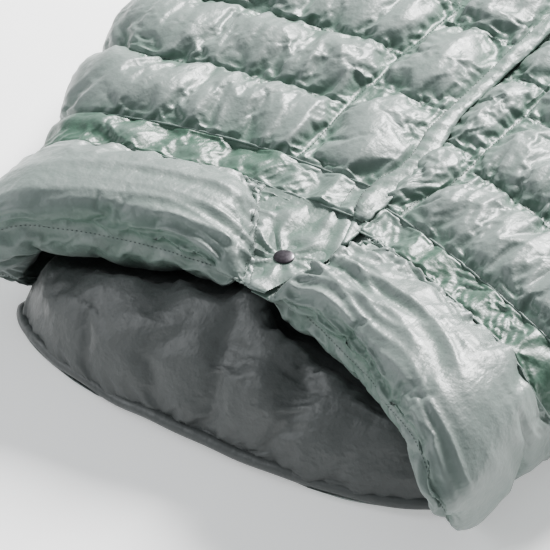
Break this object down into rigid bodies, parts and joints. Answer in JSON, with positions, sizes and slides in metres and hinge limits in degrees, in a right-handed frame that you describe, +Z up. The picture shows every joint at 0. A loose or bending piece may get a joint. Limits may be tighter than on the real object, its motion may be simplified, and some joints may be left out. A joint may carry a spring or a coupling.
{
  "type": "camp quilt",
  "caption": "Down-filled camp quilt with a draft collar, a closed foot and two lapels that a snap holds together at the neck.",
  "frame": {"origin": "on the ground under the centre of the whole quilt", "axes": "+X across the quilt, +Y from head to foot, +Z up"},
  "size_m": [0.6, 1.9, 0.118],
  "materials": {
    "shell": "satin downproof nylon, pale mint",
    "channel": "satin nylon, deeper green",
    "liner": "soft satin nylon, grey",
    "down": "white down",
    "mesh": "light netting",
    "elastic": "woven elastic",
    "snap": "gunmetal lacquer"
  },
  "bodies": {
    "root": {"under_shell": "shell", "under_liner": "liner", "under_down": "down", "under_baffle_walls": "mesh", "head_hem": "shell", "side_shell": "shell", "side_down": "down", "top_shell": "shell", "top_liner": "liner", "top_down": "down", "top_baffle_walls": "mesh", "foot_shell": "shell", "foot_down": "down", "foot_seam_tape": "channel", "closing_seam_tape": "channel"},
    "left_lapel": {"left_shell": "shell", "left_liner": "liner", "left_down": "down", "left_baffle_walls": "mesh", "left_edge_tube": "shell", "left_edge_down": "down", "left_channel": "channel", "left_elastic": "elastic", "left_collar": "shell", "left_collar_down": "down", "left_binding": "shell", "left_tab_base": "shell"},
    "snap_tab": {"left_tab": "shell", "left_tab_stiffener": "elastic", "snap_cap": "snap", "snap_socket": "snap"},
    "right_lapel": {"right_shell": "shell", "right_liner": "liner", "right_down": "down", "right_baffle_walls": "mesh", "right_edge_tube": "shell", "right_edge_down": "down", "right_channel": "channel", "right_elastic": "elastic", "right_collar": "shell", "right_collar_down": "down", "right_binding": "shell", "right_tab": "shell", "right_tab_stiffener": "elastic", "snap_stud": "snap", "snap_post": "snap"}
  },
  "joints": [
    {"name": "left_lapel_fold", "type": "hinge", "parent": "root", "child": "left_lapel", "pos_m": [0, 0.346, 0.1103], "axis": [-0.1873, -0.9823, 0], "range_deg": [0, 150]},
    {"name": "tab_peel", "type": "hinge", "parent": "left_lapel", "child": "snap_tab", "pos_m": [-0.034, -0.848, 0.1018], "axis": [-0.4622, -0.8868, 0], "range_deg": [0, 80]},
    {"name": "right_lapel_fold", "type": "hinge", "parent": "root", "child": "right_lapel", "pos_m": [0, 0.346, 0.1103], "axis": [-0.1873, 0.9823, 0], "range_deg": [0, 90]}
  ],
  "couplings": [
    {"joint": "right_lapel_fold", "follows": "left_lapel_fold", "ratio": 0.6}
  ]
}
